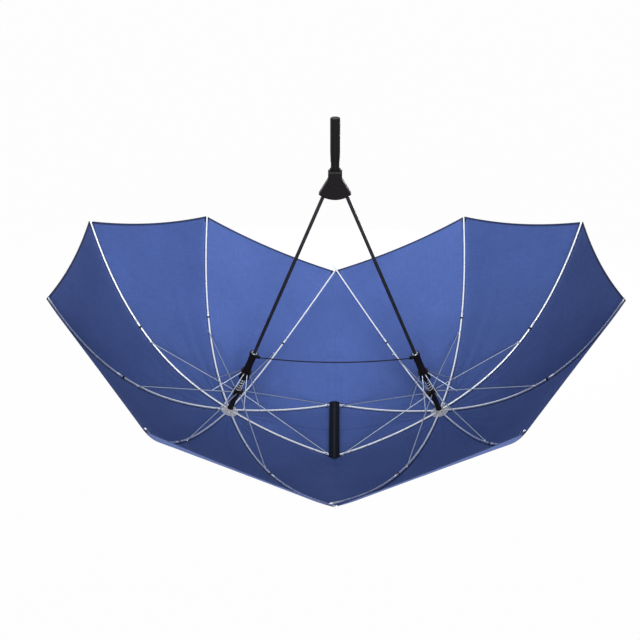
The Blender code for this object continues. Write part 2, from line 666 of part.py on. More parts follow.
def umbrella(side, looks):
    """Everything on one shaft, in a frame with the rib pivots at its origin and the shaft along +Z."""
    sign = SIDES[side]
    turn = 0 if sign > 0 else math.pi
    frame = empty(f"frame_{side}", None, (-sign * CROWN_OFFSET, 0, CROWN_LEVEL), (0, SHAFT_LEAN, turn))
    angles = [rib_angle(side, index) for index in range(RIB_COUNT)]
    shaft(side, frame, looks)
    crown(side, frame, angles, looks)
    ferrule(side, frame, looks)
    ring(side, frame, angles, looks)
    spring(side, frame, looks)
    runner(side, frame, angles, looks)
    for index in range(RIB_COUNT):
        rib(side, index, frame, looks)
        stretcher(side, index, frame, looks)
    for index in LINKED_RIBS:
        link(side, index, frame, looks)
    cloth(side, frame, looks)


def main():
    clear_scene()
    looks = {
        "black": material("black plastic", (0.012, 0.012, 0.013), 0.42),
        "dark": material("dark shaft", (0.03, 0.03, 0.032), 0.30, 0.6),
        "steel": material("bright steel", (0.72, 0.73, 0.75), 0.25, 1.0),
        "white": material("pale plastic", (0.72, 0.72, 0.70), 0.40),
        "navy": material("navy cloth", (0.02, 0.045, 0.19), 0.75),
    }
    grip(looks)
    collar(looks)
    fork(looks)
    for side in SIDES:
        umbrella(side, looks)
    strap(looks)
    link_cord(looks)


main()
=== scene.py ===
import json
import math

import bmesh
import bpy
from mathutils import Matrix, Vector


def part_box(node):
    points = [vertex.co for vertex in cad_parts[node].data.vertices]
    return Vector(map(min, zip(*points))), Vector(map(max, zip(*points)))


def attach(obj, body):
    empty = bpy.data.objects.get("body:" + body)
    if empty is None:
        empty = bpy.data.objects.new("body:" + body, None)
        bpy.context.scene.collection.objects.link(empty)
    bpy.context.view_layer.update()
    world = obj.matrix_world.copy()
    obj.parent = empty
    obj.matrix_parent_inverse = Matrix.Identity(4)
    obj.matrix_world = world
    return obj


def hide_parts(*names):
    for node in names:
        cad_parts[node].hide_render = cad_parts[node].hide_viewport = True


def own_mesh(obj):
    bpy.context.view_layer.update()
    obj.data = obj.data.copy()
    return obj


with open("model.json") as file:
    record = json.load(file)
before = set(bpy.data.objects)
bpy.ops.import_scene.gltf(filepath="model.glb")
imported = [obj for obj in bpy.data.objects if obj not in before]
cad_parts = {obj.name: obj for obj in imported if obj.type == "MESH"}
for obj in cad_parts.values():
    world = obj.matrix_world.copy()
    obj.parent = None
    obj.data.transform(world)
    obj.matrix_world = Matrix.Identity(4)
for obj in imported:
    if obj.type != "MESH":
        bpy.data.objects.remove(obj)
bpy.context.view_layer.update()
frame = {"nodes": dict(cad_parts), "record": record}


# Camera, light and floor. The umbrella is seen from in front and above, over a plain white floor
# that lies well under it and keeps only its soft shadow.
CAMERA_PLACE = (0.0009, -1.9035, 0.668)
CAMERA_PITCH = math.radians(30.06)
CAMERA_YAW = math.radians(1.05)
CAMERA_ROLL = math.radians(-0.35)
CAMERA_LENS = 53.43
KEY_FROM = (0.06, -1.0, 0.52)
KEY_ANGLE = math.radians(28)
KEY_POWER = 3.15
BACK_PLACE = (0.30, 2.80, -1.00)
BACK_SIZE = 0.8
BACK_POWER = 34.0
AIM = (0.0, 0.0, -0.45)
AMBIENT_LEVEL = 0.24
FLOOR_LEVEL = -1.45
FLOOR_HALF_WIDTH = 16.0
FLOOR_WHITE_SHARE = 0.96
FLOOR_COLOUR = (0.92, 0.92, 0.92)
FLOOR_ROUGHNESS = 0.9

camera = bpy.data.objects.new("camera", bpy.data.cameras.new("camera"))
bpy.context.scene.collection.objects.link(camera)
camera.data.lens = CAMERA_LENS
turn = Matrix.Rotation(CAMERA_YAW, 4, "Z") @ Matrix.Rotation(math.pi / 2 - CAMERA_PITCH, 4, "X")
camera.matrix_world = Matrix.Translation(CAMERA_PLACE) @ turn @ Matrix.Rotation(CAMERA_ROLL, 4, "Z")
bpy.context.scene.camera = camera
bpy.context.scene.view_settings.view_transform = "Standard"


def add_lamp(name, kind, direction, power):
    data = bpy.data.lights.new(name, kind)
    data.energy = power
    made = bpy.data.objects.new(name, data)
    made.rotation_euler = Vector(direction).to_track_quat("-Z", "Y").to_euler()
    made.visible_camera = False
    bpy.context.scene.collection.objects.link(made)
    return made


key = add_lamp("key_light", "SUN", -Vector(KEY_FROM), KEY_POWER)
key.data.angle = KEY_ANGLE
back = add_lamp("back_light", "AREA", Vector(AIM) - Vector(BACK_PLACE), BACK_POWER)
back.location = BACK_PLACE
back.data.shape = "DISK"
back.data.size = BACK_SIZE


def seen_directly(nodes, links):
    """One for rays from the camera and for rays that a metal or a glass sends on, otherwise zero."""
    path = nodes.new("ShaderNodeLightPath")
    total = nodes.new("ShaderNodeMath")
    total.operation = "MAXIMUM"
    links.new(path.outputs["Is Camera Ray"], total.inputs[0])
    links.new(path.outputs["Is Glossy Ray"], total.inputs[1])
    return total.outputs[0]


world = bpy.data.worlds.new("studio")
world.use_nodes = True
bpy.context.scene.world = world
sky = world.node_tree.nodes["Background"]
sky.inputs["Color"].default_value = (1.0, 1.0, 1.0, 1.0)
level = world.node_tree.nodes.new("ShaderNodeMapRange")
level.inputs["To Min"].default_value = AMBIENT_LEVEL
level.inputs["To Max"].default_value = 1.0
links = world.node_tree.links
links.new(seen_directly(world.node_tree.nodes, links), level.inputs["Value"])
links.new(level.outputs["Result"], sky.inputs["Strength"])

bm = bmesh.new()
bmesh.ops.create_grid(bm, x_segments=1, y_segments=1, size=FLOOR_HALF_WIDTH)
bmesh.ops.translate(bm, verts=bm.verts, vec=(0, 0, FLOOR_LEVEL))
mesh = bpy.data.meshes.new("floor")
bm.to_mesh(mesh)
bm.free()
floor = bpy.data.objects.new("floor", mesh)
bpy.context.scene.collection.objects.link(floor)
paper = bpy.data.materials.new("floor paper")
paper.use_nodes = True
tree = paper.node_tree
matte = tree.nodes["Principled BSDF"]
matte.inputs["Base Color"].default_value = (*FLOOR_COLOUR, 1.0)
matte.inputs["Roughness"].default_value = FLOOR_ROUGHNESS
glow = tree.nodes.new("ShaderNodeEmission")
share = tree.nodes.new("ShaderNodeMath")
share.operation = "MULTIPLY"
share.inputs[1].default_value = FLOOR_WHITE_SHARE
mixed = tree.nodes.new("ShaderNodeMixShader")
tree.links.new(seen_directly(tree.nodes, tree.links), share.inputs[0])
tree.links.new(share.outputs[0], mixed.inputs[0])
tree.links.new(matte.outputs[0], mixed.inputs[1])
tree.links.new(glow.outputs[0], mixed.inputs[2])
tree.links.new(mixed.outputs[0], tree.nodes["Material Output"].inputs["Surface"])
mesh.materials.append(paper)


# The two halves. Each has its crown, where eight ribs hinge round the shaft, and leans away from the
# middle; a place on it is given by a rib, a reach from the shaft and a height over the rib pivots.
SIDES = ("left", "right")
RIB_NUMBERS = range(1, 9)
SEAM_RIBS = (1, 6)
MIDDLE_RIBS = (2, 5)
SHORT_RIBS = (7, 8)
SHARP_ANGLE = math.radians(40)
ROUND_SIDES = 12
TURN_STEPS = 32
joints = {joint["name"]: joint for joint in frame["record"]["behaviour"]["joints"]}


def half(side):
    """Middle of the crown's rib pivots, from two ribs that face each other, and the shaft's direction."""
    facing = [Vector(joints[f"rib_{side}_{number}_hinge"]["pos_m"]) for number in (3, 7)]
    return (facing[0] + facing[1]) / 2, Vector(joints[f"runner_{side}_slide"]["axis"]).normalized()


halves = {side: half(side) for side in SIDES}


def outward(side, number):
    """Direction from the shaft out along a rib, square to the shaft."""
    return (Vector(joints[f"rib_{side}_{number}_hinge"]["pos_m"]) - halves[side][0]).normalized()


def sideways(side, number):
    return halves[side][1].cross(outward(side, number))


def spot(side, number, reach, height, aside=0.0):
    centre, up = halves[side]
    return centre + outward(side, number) * reach + up * height + sideways(side, number) * aside


def add_piece(name, bm, material, body):
    """Make a finished piece of a bmesh, with its place in its mesh, riding on a body."""
    bmesh.ops.recalc_face_normals(bm, faces=bm.faces)
    bm.edges.index_update()
    rims = [edge.index for edge in bm.edges if edge.is_boundary]
    mesh = bpy.data.meshes.new(name)
    bm.to_mesh(mesh)
    bm.free()
    mesh.shade_smooth()
    mesh.set_sharp_from_angle(angle=SHARP_ANGLE)
    for index in rims:
        mesh.edges[index].use_edge_sharp = True
    mesh.materials.append(material)
    made = bpy.data.objects.new(name, mesh)
    bpy.context.scene.collection.objects.link(made)
    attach(made, body)
    return made


ROUND_ANGLES = [math.tau * step / ROUND_SIDES for step in range(ROUND_SIDES)]
ROUND = [(math.cos(angle), math.sin(angle)) for angle in ROUND_ANGLES]


def draw_rod(bm, stops, aside, section=ROUND):
    """A capped rod through stops of (place, radius), all in one plane that aside is square to. Its
    section, of points (aside, outwards from the bow), is extruded from stop to stop."""
    frames = []
    for index, (place, radius) in enumerate(stops):
        along = (stops[min(index + 1, len(stops) - 1)][0] - stops[max(index - 1, 0)][0]).normalized()
        across = aside.normalized()
        axes = Matrix((across, along.cross(across), along)).transposed().to_4x4()
        axes.translation = place
        frames.append(axes @ Matrix.Diagonal((radius, radius, 1, 1)))
    verts = [bm.verts.new(frames[0] @ Vector((x, y, 0))) for x, y in section]
    edges = list(bm.faces.new(verts).edges)
    for before, after in zip(frames, frames[1:]):
        drawn = bmesh.ops.extrude_edge_only(bm, edges=edges)["geom"]
        verts = [item for item in drawn if isinstance(item, bmesh.types.BMVert)]
        edges = [item for item in drawn if isinstance(item, bmesh.types.BMEdge)]
        edges = [edge for edge in edges if all(vert in verts for vert in edge.verts)]
        bmesh.ops.transform(bm, matrix=after @ before.inverted(), verts=verts)
    bmesh.ops.holes_fill(bm, edges=edges, sides=len(section))


NOISE_LOW = 0.3
NOISE_HIGH = 0.7


def principled(name, colour, roughness, metallic=0.0):
    """A material, its tree and its shader. Colour and roughness are plain values, which the patterns
    that are linked to the shader later take the place of."""
    made = bpy.data.materials.new(name)
    made.use_nodes = True
    shader = made.node_tree.nodes["Principled BSDF"]
    shader.inputs["Base Color"].default_value = (*colour, 1.0)
    shader.inputs["Roughness"].default_value = roughness
    shader.inputs["Metallic"].default_value = metallic
    return made, made.node_tree, shader


def noise(tree, scale, detail, stretch=(1.0, 1.0, 1.0)):
    """Noise at so many grains a metre, read from the piece's own coordinates."""
    where = tree.nodes.new("ShaderNodeTexCoord")
    mapping = tree.nodes.new("ShaderNodeMapping")
    mapping.inputs["Scale"].default_value = stretch
    made = tree.nodes.new("ShaderNodeTexNoise")
    made.inputs["Scale"].default_value = scale
    made.inputs["Detail"].default_value = detail
    tree.links.new(where.outputs["Object"], mapping.inputs["Vector"])
    tree.links.new(mapping.outputs["Vector"], made.inputs["Vector"])
    return made.outputs["Fac"]


def spread(tree, source, low, high, to_low, to_high):
    """Map the range from low to high onto the range from to_low to to_high."""
    made = tree.nodes.new("ShaderNodeMapRange")
    for name, value in (("From Min", low), ("From Max", high), ("To Min", to_low), ("To Max", to_high)):
        made.inputs[name].default_value = value
    tree.links.new(source, made.inputs["Value"])
    return made.outputs["Result"]


def noise_spread(tree, source, to_low, to_high):
    """Map the values that noise mostly takes onto a range."""
    return spread(tree, source, NOISE_LOW, NOISE_HIGH, to_low, to_high)


def two_tone(tree, source, dark, light):
    """Mix from a dark colour to a light one by a value between zero and one."""
    made = tree.nodes.new("ShaderNodeMix")
    made.data_type = "RGBA"
    made.inputs[6].default_value = (*dark, 1.0)
    made.inputs[7].default_value = (*light, 1.0)
    tree.links.new(source, made.inputs[0])
    return made.outputs[2]


def tint(tree, shader, source, dark, light):
    """Colour a material between two tones by a value between zero and one."""
    tree.links.new(two_tone(tree, source, dark, light), shader.inputs["Base Color"])


def roughen(tree, shader, source, low, high):
    """Vary a material's roughness between two values with a noise."""
    tree.links.new(noise_spread(tree, source, low, high), shader.inputs["Roughness"])


def emboss(tree, shader, source, depth, strength=1.0):
    """Raise a material's surface by a pattern, as a bump of a depth in metres."""
    made = tree.nodes.new("ShaderNodeBump")
    made.inputs["Distance"].default_value = depth
    made.inputs["Strength"].default_value = strength
    tree.links.new(source, made.inputs["Height"])
    tree.links.new(made.outputs["Normal"], shader.inputs["Normal"])


# Cord between the runners: a thin black braided cord, tied at both ends into the eyes of the outer
# runners. It hangs in a shallow bow.
CORD_RADIUS = 0.0014
CORD_SAG = 0.0120
CORD_POINTS = 61
EYE_REACH = 0.0178
EYE_HEIGHT = 0.1690
BRAID_PER_METRE = 900.0


def runner_eye(side):
    centre, up = halves[side]
    inward = (outward(side, 7) + outward(side, 8)).normalized()
    return centre + up * EYE_HEIGHT + inward * EYE_REACH


cord_start = runner_eye("left")
cord_path = []
for step in range(CORD_POINTS):
    across = 2 * step / (CORD_POINTS - 1) - 1
    cord_path.append(Vector((-across * cord_start.x, 0, cord_start.z - CORD_SAG * (1 - across**2))))

braid, tree, shader = principled("braided cord", (0.010, 0.010, 0.018), 0.85)
shader.inputs["Specular IOR Level"].default_value = 0.2
strands = noise(tree, BRAID_PER_METRE, 2.0)
tint(tree, shader, strands, (0.004, 0.004, 0.008), (0.018, 0.018, 0.028))
emboss(tree, shader, strands, 0.0003)

bm = bmesh.new()
draw_rod(bm, [(place, CORD_RADIUS) for place in cord_path], Vector((0, 1, 0)))
cord = add_piece("runner_cord", bm, braid, "link_cord")
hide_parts("link_cord")
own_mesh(cord)


# Ribs: pressed channels of bright plated steel, bowed by the cloth and open towards it. An inner arm
# and an outer one meet in a pinched knuckle, and a small cap at the tip is sewn to the cloth's corner.
PIVOT_REACH = 0.0090
SEAM_TIP = (0.5340, 0.2220)
MIDDLE_TIP = (0.5300, 0.2470)
OUTER_TIP = (0.5100, 0.2630)
LONG_JOINT = (0.2520, 0.0500)
SHORT_TIP = (0.2675, 0.0400)
SHORT_JOINT_SETBACK = 0.0055
SEAM_BOW = {"left": 1 - 0.018, "right": 1 + 0.018}
ARM_HALF_WIDTH = 0.0022
OUTER_HALF_WIDTH = 0.0021
PINCHED_HALF_WIDTH = 0.0014
PINCHED_REACH = 0.0170
KNUCKLE_START = 0.2930
KNUCKLE_LENGTH = 0.0130
KNUCKLE_HALF_WIDTH = 0.0025
TIP_LENGTH = 0.0050
TIP_RADIUS = 0.0011
TIP_CHAMFER = 0.0015
SEAM_TIP_OVERHANG = 0.0100
SEAM_TIP_LEAN = 0.0060
RIB_STEPS = 30
STEP_IN = 0.0004
CHANNEL = [(-1, -0.72), (-0.62, -0.72), (-0.62, 0.25), (0.62, 0.25), (0.62, -0.72), (1, -0.72)]
CHANNEL += [(1, 0.28), (0.72, 0.66), (0.3, 0.78), (-0.3, 0.78), (-0.72, 0.66), (-1, 0.28)]


def bow_of(side, number):
    """Of two ribs that meet at the seam, the left one is bowed a little less and the right one a little
    more, so that they pass each other as they fold."""
    return SEAM_BOW[side] if number in SEAM_RIBS else 1.0


def tip_of(side, number):
    if number in SHORT_RIBS:
        return SHORT_TIP
    reach, rise = SEAM_TIP if number in SEAM_RIBS else MIDDLE_TIP if number in MIDDLE_RIBS else OUTER_TIP
    return reach, rise * bow_of(side, number)


def joint_of(side, number):
    """Reach and height of a rib's joint with its stretcher."""
    if number not in SHORT_RIBS:
        return LONG_JOINT[0], LONG_JOINT[1] * bow_of(side, number)
    reach = SHORT_TIP[0] - SHORT_JOINT_SETBACK
    return reach, SHORT_TIP[1] * (reach / SHORT_TIP[0]) ** 2


def rib_height(side, number, reach):
    """Height of a rib over its pivot: a bow that steepens outwards, through its joint and its tip."""
    tip, joint = tip_of(side, number), joint_of(side, number)
    power = math.log(tip[1] / joint[1]) / math.log(tip[0] / joint[0])
    return joint[1] * (reach / joint[0]) ** power


def lean_of(side, number, reach):
    """How far a rib that meets the seam is drawn towards it by the cloth, outside its joint."""
    if number not in SEAM_RIBS or reach < LONG_JOINT[0]:
        return 0.0
    towards = -1 if (side == "left") == (number == SEAM_RIBS[0]) else 1
    return towards * SEAM_TIP_LEAN * ((reach - LONG_JOINT[0]) / (SEAM_TIP[0] - LONG_JOINT[0])) ** 2


def on_rib(side, number, reach):
    height = rib_height(side, number, max(reach, PIVOT_REACH)) - rib_height(side, number, PIVOT_REACH)
    return spot(side, number, reach, height, lean_of(side, number, reach))


def end_of(side, number):
    """Reach of a rib's end. The ribs that meet at the seam run on past it and cross."""
    return tip_of(side, number)[0] + (SEAM_TIP_OVERHANG if number in SEAM_RIBS else 0)


steel, tree, shader = principled("plated steel", (0.86, 0.88, 0.93), 0.30, 0.65)
drawn = noise(tree, 110.0, 2.0)
roughen(tree, shader, drawn, 0.26, 0.36)
tint(tree, shader, drawn, (0.84, 0.88, 0.96), (0.91, 0.95, 1.00))
emboss(tree, shader, drawn, 0.00003)


def arm_stops(side, number):
    """Half widths along the inner arm, which ends pinched in the crown's slot."""
    end = SHORT_TIP[0] if number in SHORT_RIBS else KNUCKLE_START
    reaches = [PINCHED_REACH + (end - PINCHED_REACH) * step / RIB_STEPS for step in range(1, RIB_STEPS)]
    marks = [(PIVOT_REACH - PINCHED_HALF_WIDTH, PINCHED_HALF_WIDTH / 2), (PIVOT_REACH, PINCHED_HALF_WIDTH)]
    marks += [(PINCHED_REACH, PINCHED_HALF_WIDTH)] + [(x, ARM_HALF_WIDTH) for x in reaches]
    marks += [(end - STEP_IN, ARM_HALF_WIDTH), (end, ARM_HALF_WIDTH - STEP_IN)]
    return [(on_rib(side, number, x), r) for x, r in marks]


def outer_stops(side, number):
    start, end = KNUCKLE_START + STEP_IN, KNUCKLE_START + KNUCKLE_LENGTH
    last = end_of(side, number) - TIP_LENGTH
    marks = [(start, OUTER_HALF_WIDTH), (start + STEP_IN, KNUCKLE_HALF_WIDTH), (end, KNUCKLE_HALF_WIDTH)]
    reaches = [end + STEP_IN + (last - end) * step / RIB_STEPS for step in range(RIB_STEPS + 1)]
    marks += [(x, OUTER_HALF_WIDTH) for x in reaches]
    return [(on_rib(side, number, x), r) for x, r in marks]


def tip_stops(side, number):
    tip = end_of(side, number)
    start = tip - TIP_LENGTH - 2 * STEP_IN
    marks = [(start, TIP_RADIUS - STEP_IN), (start + STEP_IN, TIP_RADIUS), (tip - TIP_CHAMFER, TIP_RADIUS)]
    marks += [(tip - STEP_IN, TIP_RADIUS - STEP_IN), (tip, TIP_RADIUS / 3)]
    return [(on_rib(side, number, x), r) for x, r in marks]


for side in SIDES:
    for number in RIB_NUMBERS:
        body, aside = f"rib_{side}_{number}", sideways(side, number)
        bm = bmesh.new()
        draw_rod(bm, arm_stops(side, number), aside, CHANNEL)
        if number not in SHORT_RIBS:
            draw_rod(bm, outer_stops(side, number), aside, CHANNEL)
        rib = add_piece(f"channel_{body}", bm, steel, body)
        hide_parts(body)
        if number not in SHORT_RIBS:
            bm = bmesh.new()
            draw_rod(bm, tip_stops(side, number), aside)
            add_piece(f"tip_cap_{side}_{number}", bm, steel, body)


# Knuckles and rivets: a dark gap where the two arms of a long rib meet, and a rivet with a black
# washer that joins each rib to its stretcher.
GAP_LENGTH = 0.0036
GAP_RADIUS = 0.0029
RIVET_RADIUS = 0.0011
RIVET_HEAD_RADIUS = 0.0020
RIVET_HEAD = 0.0008
RIVET_REACH = 0.0050
RIVET_STEP = STEP_IN / 10
WASHER_RADIUS = 0.0028
WASHER_THICKNESS = 0.0009
WASHER_SEAT_SHARE = 0.9

nylon, tree, shader = principled("black nylon", (0.006, 0.006, 0.008), 0.5)
shader.inputs["Specular IOR Level"].default_value = 0.15
grain = noise(tree, 500.0, 2.0)
roughen(tree, shader, grain, 0.40, 0.62)
tint(tree, shader, grain, (0.004, 0.004, 0.006), (0.009, 0.009, 0.012))


def draw_pin(bm, centre, aside, square, steps):
    """A turned pin across a rib, of (distance aside, radius) steps."""
    draw_rod(bm, [(centre + aside * along, radius) for along, radius in steps], square)


for side in SIDES:
    up = halves[side][1]
    for number in RIB_NUMBERS:
        body, aside = f"rib_{side}_{number}", sideways(side, number)
        bm = bmesh.new()
        if number not in SHORT_RIBS:
            ends = (KNUCKLE_START - GAP_LENGTH, KNUCKLE_START)
            draw_rod(bm, [(on_rib(side, number, x), GAP_RADIUS) for x in ends], aside)
        centre = on_rib(side, number, joint_of(side, number)[0])
        start = ARM_HALF_WIDTH * WASHER_SEAT_SHARE
        washer = [(start, WASHER_RADIUS), (start + WASHER_THICKNESS, WASHER_RADIUS)]
        draw_pin(bm, centre, -aside, up, washer)
        add_piece(f"knuckle_{side}_{number}", bm, nylon, body)
        head = -start - WASHER_THICKNESS - RIVET_HEAD
        steps = [(head, RIVET_HEAD_RADIUS / 2), (head + RIVET_HEAD / 2, RIVET_HEAD_RADIUS)]
        steps += [(head + RIVET_HEAD, RIVET_HEAD_RADIUS), (head + RIVET_HEAD + RIVET_STEP, RIVET_RADIUS)]
        steps += [(RIVET_REACH, RIVET_RADIUS), (RIVET_REACH + RIVET_STEP, RIVET_HEAD_RADIUS)]
        steps += [(RIVET_REACH + RIVET_HEAD / 2, RIVET_HEAD_RADIUS)]
        steps += [(RIVET_REACH + RIVET_HEAD, RIVET_RADIUS)]
        bm = bmesh.new()
        draw_pin(bm, centre, aside, up, steps)
        add_piece(f"rivet_{side}_{number}", bm, steel, body)


# Stretchers and links: plated channels, a little duller than the ribs. A stretcher runs from the ring
# to the rib's rivet, and a link from the outer runner to a point on the stretcher. The frame has only
# some of the links; each of the others rides on the one nearest to it.
STRETCHER_HALF_WIDTH = 0.0011
STRETCHER_SIDE = 0.0034
STRETCHER_OVERHANG = 0.0018
RING_PIVOT = (0.0105, 0.0580)
LINK_PIVOT = (0.0105, 0.1180)
LINK_REACH = 0.0540
LINK_HALF_WIDTH = 0.0011
LINK_OVERHANG = 0.0030
ROD_EYE_SHARE = 1.25
ROD_EYE_LENGTH = 0.0060

# A darker, rougher copy of the ribs' plated steel.
dull_steel, tree, shader = principled("darker plated steel", (0.37, 0.42, 0.52), 0.36, 0.8)
drawn = noise(tree, 300.0, 3.0)
roughen(tree, shader, drawn, 0.26, 0.46)
tint(tree, shader, drawn, (0.30, 0.35, 0.44), (0.44, 0.50, 0.60))
emboss(tree, shader, drawn, 0.00008)


def eyed_rod(side, number, start, end, overhang, half_width, aside):
    """Stops along a straight rod from its pivot to a little past its far joint, swollen at both ends."""
    first = spot(side, number, *start, aside)
    last = spot(side, number, *end, aside)
    along = (last - first).normalized()
    last += along * overhang
    eye = half_width * ROD_EYE_SHARE
    stops = [(first - along * eye, eye / 2), (first - along * eye / 2, eye)]
    stops += [(first + along * ROD_EYE_LENGTH / 2, eye), (first + along * ROD_EYE_LENGTH, half_width)]
    stops += [(last - along * ROD_EYE_LENGTH, half_width), (last - along * (ROD_EYE_LENGTH - eye), eye)]
    stops += [(last - along * STEP_IN, eye), (last, half_width)]
    return stops


for side in SIDES:
    linked = [number for number in RIB_NUMBERS if f"link_{side}_{number}_hinge" in joints]
    for number in RIB_NUMBERS:
        joint = joint_of(side, number)
        bm = bmesh.new()
        draw_rod(bm, eyed_rod(side, number, RING_PIVOT, joint, STRETCHER_OVERHANG, STRETCHER_HALF_WIDTH,
                              STRETCHER_SIDE), sideways(side, number), CHANNEL)
        name = f"stretcher_{side}_{number}"
        piece = add_piece(f"channel_{name}", bm, dull_steel, name)
        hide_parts(name)
        along = (Vector(joint) - Vector(RING_PIVOT)).normalized()
        end = Vector(RING_PIVOT) + along * LINK_REACH
        bm = bmesh.new()
        draw_rod(bm, eyed_rod(side, number, LINK_PIVOT, end, LINK_OVERHANG, LINK_HALF_WIDTH, 0.0),
                 sideways(side, number), CHANNEL)
        carrier = min(linked, key=lambda other: min((number - other) % 8, (other - number) % 8))
        body = f"link_{side}_{carrier}"
        piece = add_piece(f"channel_link_{side}_{number}", bm, dull_steel, body)
        if carrier == number:
            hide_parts(f"link_{side}_{number}")


# Crown collars: a thin black collar lies on each crown, where the shaft enters it.
COLLAR_RADIUS = 0.0078
COLLAR_FOOT = 0.0045
COLLAR_TOP = 0.0051
COLLAR_BORE = 0.0044
COLLAR_CHAMFER = 0.0003


def turned_ring(bm, centre, axis, outline):
    """A closed outline of (radius, height) points spun once round an axis."""
    across = axis.orthogonal().normalized()
    verts = [bm.verts.new(centre + across * radius + axis * height) for radius, height in outline]
    edges = [bm.edges.new(pair) for pair in zip(verts, verts[1:] + verts[:1])]
    bmesh.ops.spin(bm, geom=verts + edges, cent=centre, axis=axis, angle=math.tau, steps=TURN_STEPS,
                   use_merge=True)


for side in SIDES:
    centre, up = halves[side]
    bm = bmesh.new()
    outline = [(COLLAR_BORE, COLLAR_FOOT), (COLLAR_RADIUS, COLLAR_FOOT)]
    outline += [(COLLAR_RADIUS - COLLAR_CHAMFER, COLLAR_TOP), (COLLAR_BORE, COLLAR_TOP)]
    turned_ring(bm, centre, up, outline)
    add_piece(f"crown_collar_{side}", bm, nylon, "handle")


# Sleeves, mouth rings and pin caps: the ring has a black sleeve that reaches down to the crown, the
# outer runner a steel ring in its mouth, and the connector a black cap on each pin.
SLEEVE_RADIUS = 0.0064
SLEEVE_BORE = 0.0045
SLEEVE_FOOT = 0.0052
SLEEVE_TOP = 0.0530
SLEEVE_FOOT_SHARE = 0.92
SLEEVE_TAPER = 0.002
MOUTH_HEIGHT = 0.1760
MOUTH_RADIUS = 0.0072
MOUTH_THICKNESS = 0.0009
MOUTH_CHAMFER = 0.0004
PIN_LEVEL = -0.09585
PIN_HALF_SPREAD = 0.0130
PIN_FACE = 0.0106
CAP_RADIUS = 0.0026
CAP_THICKNESS = 0.0008
CAP_SHARES = ((0, 1), (0.5, 0.85), (1, 0.4))

for side in SIDES:
    centre, up = halves[side]
    bm = bmesh.new()
    outline = [(SLEEVE_BORE, SLEEVE_FOOT), (SLEEVE_RADIUS * SLEEVE_FOOT_SHARE, SLEEVE_FOOT)]
    outline += [(SLEEVE_RADIUS, SLEEVE_FOOT + SLEEVE_TAPER), (SLEEVE_RADIUS, SLEEVE_TOP)]
    outline += [(SLEEVE_BORE, SLEEVE_TOP)]
    turned_ring(bm, centre, up, outline)
    add_piece(f"ring_sleeve_{side}", bm, nylon, f"ring_{side}")
    bm = bmesh.new()
    mouth_top = MOUTH_HEIGHT + MOUTH_THICKNESS
    outline = [(SLEEVE_BORE, MOUTH_HEIGHT), (MOUTH_RADIUS, MOUTH_HEIGHT)]
    outline += [(MOUTH_RADIUS - MOUTH_CHAMFER, mouth_top), (SLEEVE_BORE, mouth_top)]
    turned_ring(bm, centre, up, outline)
    add_piece(f"mouth_ring_{side}", bm, dull_steel, f"runner_{side}")
    sign = -1 if side == "left" else 1
    bm = bmesh.new()
    for face in (-1, 1):
        place = Vector((sign * PIN_HALF_SPREAD, face * PIN_FACE, PIN_LEVEL))
        outwards = Vector((0, face, 0))
        steps = [(CAP_THICKNESS * height, CAP_RADIUS * radius) for height, radius in CAP_SHARES]
        draw_pin(bm, place, outwards, Vector((0, 0, 1)), steps)
    add_piece(f"pin_caps_{side}", bm, nylon, "handle")


# Springs: bright wire coils round each shaft, between the ring and the outer runner.
SPRING_WIRE_RADIUS = 0.00055
SPRING_RADIUS = 0.0064
SPRING_CURLS = 5
SPRING_FOOT = 0.0631
SPRING_TOP = 0.0997
SPRING_CURL_STEPS = 28


def spring_path(side):
    centre, up = halves[side]
    out, across = outward(side, 3), sideways(side, 3)
    steps = SPRING_CURLS * SPRING_CURL_STEPS
    path = []
    for step in range(steps + 1):
        angle = math.tau * step / SPRING_CURL_STEPS
        height = SPRING_FOOT + SPRING_WIRE_RADIUS
        height += (SPRING_TOP - SPRING_FOOT - 2 * SPRING_WIRE_RADIUS) * step / steps
        turned = out * math.cos(angle) + across * math.sin(angle)
        path.append(centre + up * height + turned * SPRING_RADIUS)
    return path


for side in SIDES:
    curve = bpy.data.curves.new(f"coil_{side}", "CURVE")
    curve.dimensions = "3D"
    curve.bevel_depth = SPRING_WIRE_RADIUS
    curve.bevel_resolution = 3
    curve.use_fill_caps = True
    path = spring_path(side)
    spline = curve.splines.new("POLY")
    spline.points.add(len(path) - 1)
    for target, place in zip(spline.points, path):
        target.co = (*place, 1)
    drawn = bpy.data.objects.new(f"coil_{side}", curve)
    bpy.context.scene.collection.objects.link(drawn)
    mesh = bpy.data.meshes.new_from_object(drawn)
    bpy.data.objects.remove(drawn, do_unlink=True)
    mesh.shade_smooth()
    mesh.materials.clear()
    mesh.materials.append(steel)
    coil = bpy.data.objects.new(f"coil_{side}", mesh)
    bpy.context.scene.collection.objects.link(coil)
    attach(coil, f"ring_{side}")
    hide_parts(f"spring_{side}")
    centre, up = halves[side]
    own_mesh(coil)


# Canopies: one bowl of coated navy cloth on each crown, sewn to its ribs and to the other bowl along
# the middle. Each is modelled as a gore on every rib, so that the cloth folds with the rib.
CLOTH_THICKNESS = 0.0006
CLOTH_DROP = 0.0044
CLOTH_CENTRE_DROP = 0.0049
CLOTH_CENTRE_REACH = 0.0450
CLOTH_HOLE_RADIUS = 0.0072
SLOPE_STEP = 0.0010
GORE_COLUMNS = 28
GORE_ROWS = 48
RIM_SCALLOP_SHARES = {1: 0.016, 2: 0.017, 3: 0.018, 4: 0.022, 5: 0.040}
SEAM_BOW_SHARE = {"left": 0.39, "right": -0.11}
SEAM_PANELS = (6, 7, 8)
SAG = 0.0050
SAG_RISE = 1.1
PUCKER = 0.0008
CREASE = 0.0016
CREASE_RISE = 6
CREASES = 7
FINE_CREASES = 11
FINE_CREASE_SHARE = 0.6
CORNER_SETBACK = 0.0040
HEM_SHARE = 0.9925
PATCH_SHARE = 0.980
